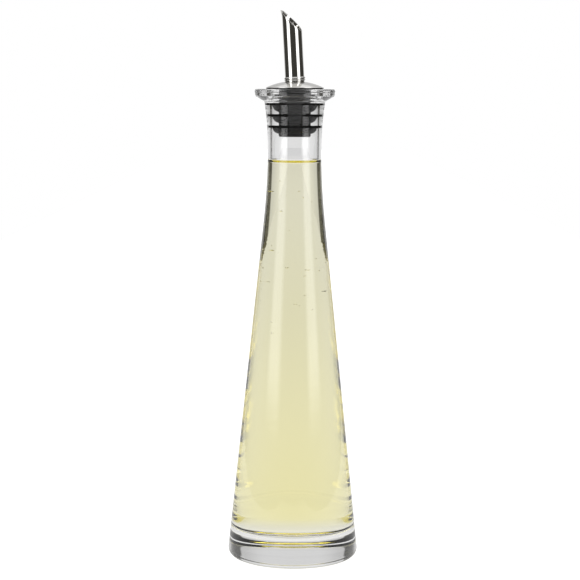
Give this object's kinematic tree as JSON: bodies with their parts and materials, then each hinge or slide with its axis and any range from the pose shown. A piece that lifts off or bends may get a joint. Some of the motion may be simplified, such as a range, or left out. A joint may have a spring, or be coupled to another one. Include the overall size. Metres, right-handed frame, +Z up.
{
  "type": "glass oil bottle with pourer",
  "caption": "Tall conical clear-glass oil bottle with a thick base and a flat lip, filled with pale oil and closed by a finned rubber stopper with a steel dome and an oblique spout.",
  "frame": {"origin": "centre of the bearing ring under the bottle, on the surface that it stands on", "axes": "+Z up along the bottle's axis, -X the way the spout leans, -Y towards the viewer of the spout's open side"},
  "size_m": [0.0666, 0.0666, 0.2796],
  "materials": {
    "clear_glass": "polished, clear",
    "pale_oil": "clear yellow liquid",
    "black_rubber": "matte, moulded",
    "polished_steel": "polished stainless steel",
    "tube_steel": "drawn stainless steel tube"
  },
  "bodies": {
    "bottle": {"bottle": "clear_glass", "oil": "pale_oil"},
    "stopper": {"stopper": "black_rubber"},
    "spout": {"dome_cap": "polished_steel", "spout_tube": "polished_steel", "spout_collar": "polished_steel", "vent_tube": "tube_steel"}
  },
  "joints": [
    {"name": "pourer_lift", "type": "slide", "parent": "bottle", "child": "stopper", "axis": [0, 0, 1], "range_m": [0, 0.04]},
    {"name": "spout_turn", "type": "hinge", "parent": "stopper", "child": "spout", "pos_m": [0, 0, 0.24], "axis": [0, 0, 1], "continuous": true}
  ]
}
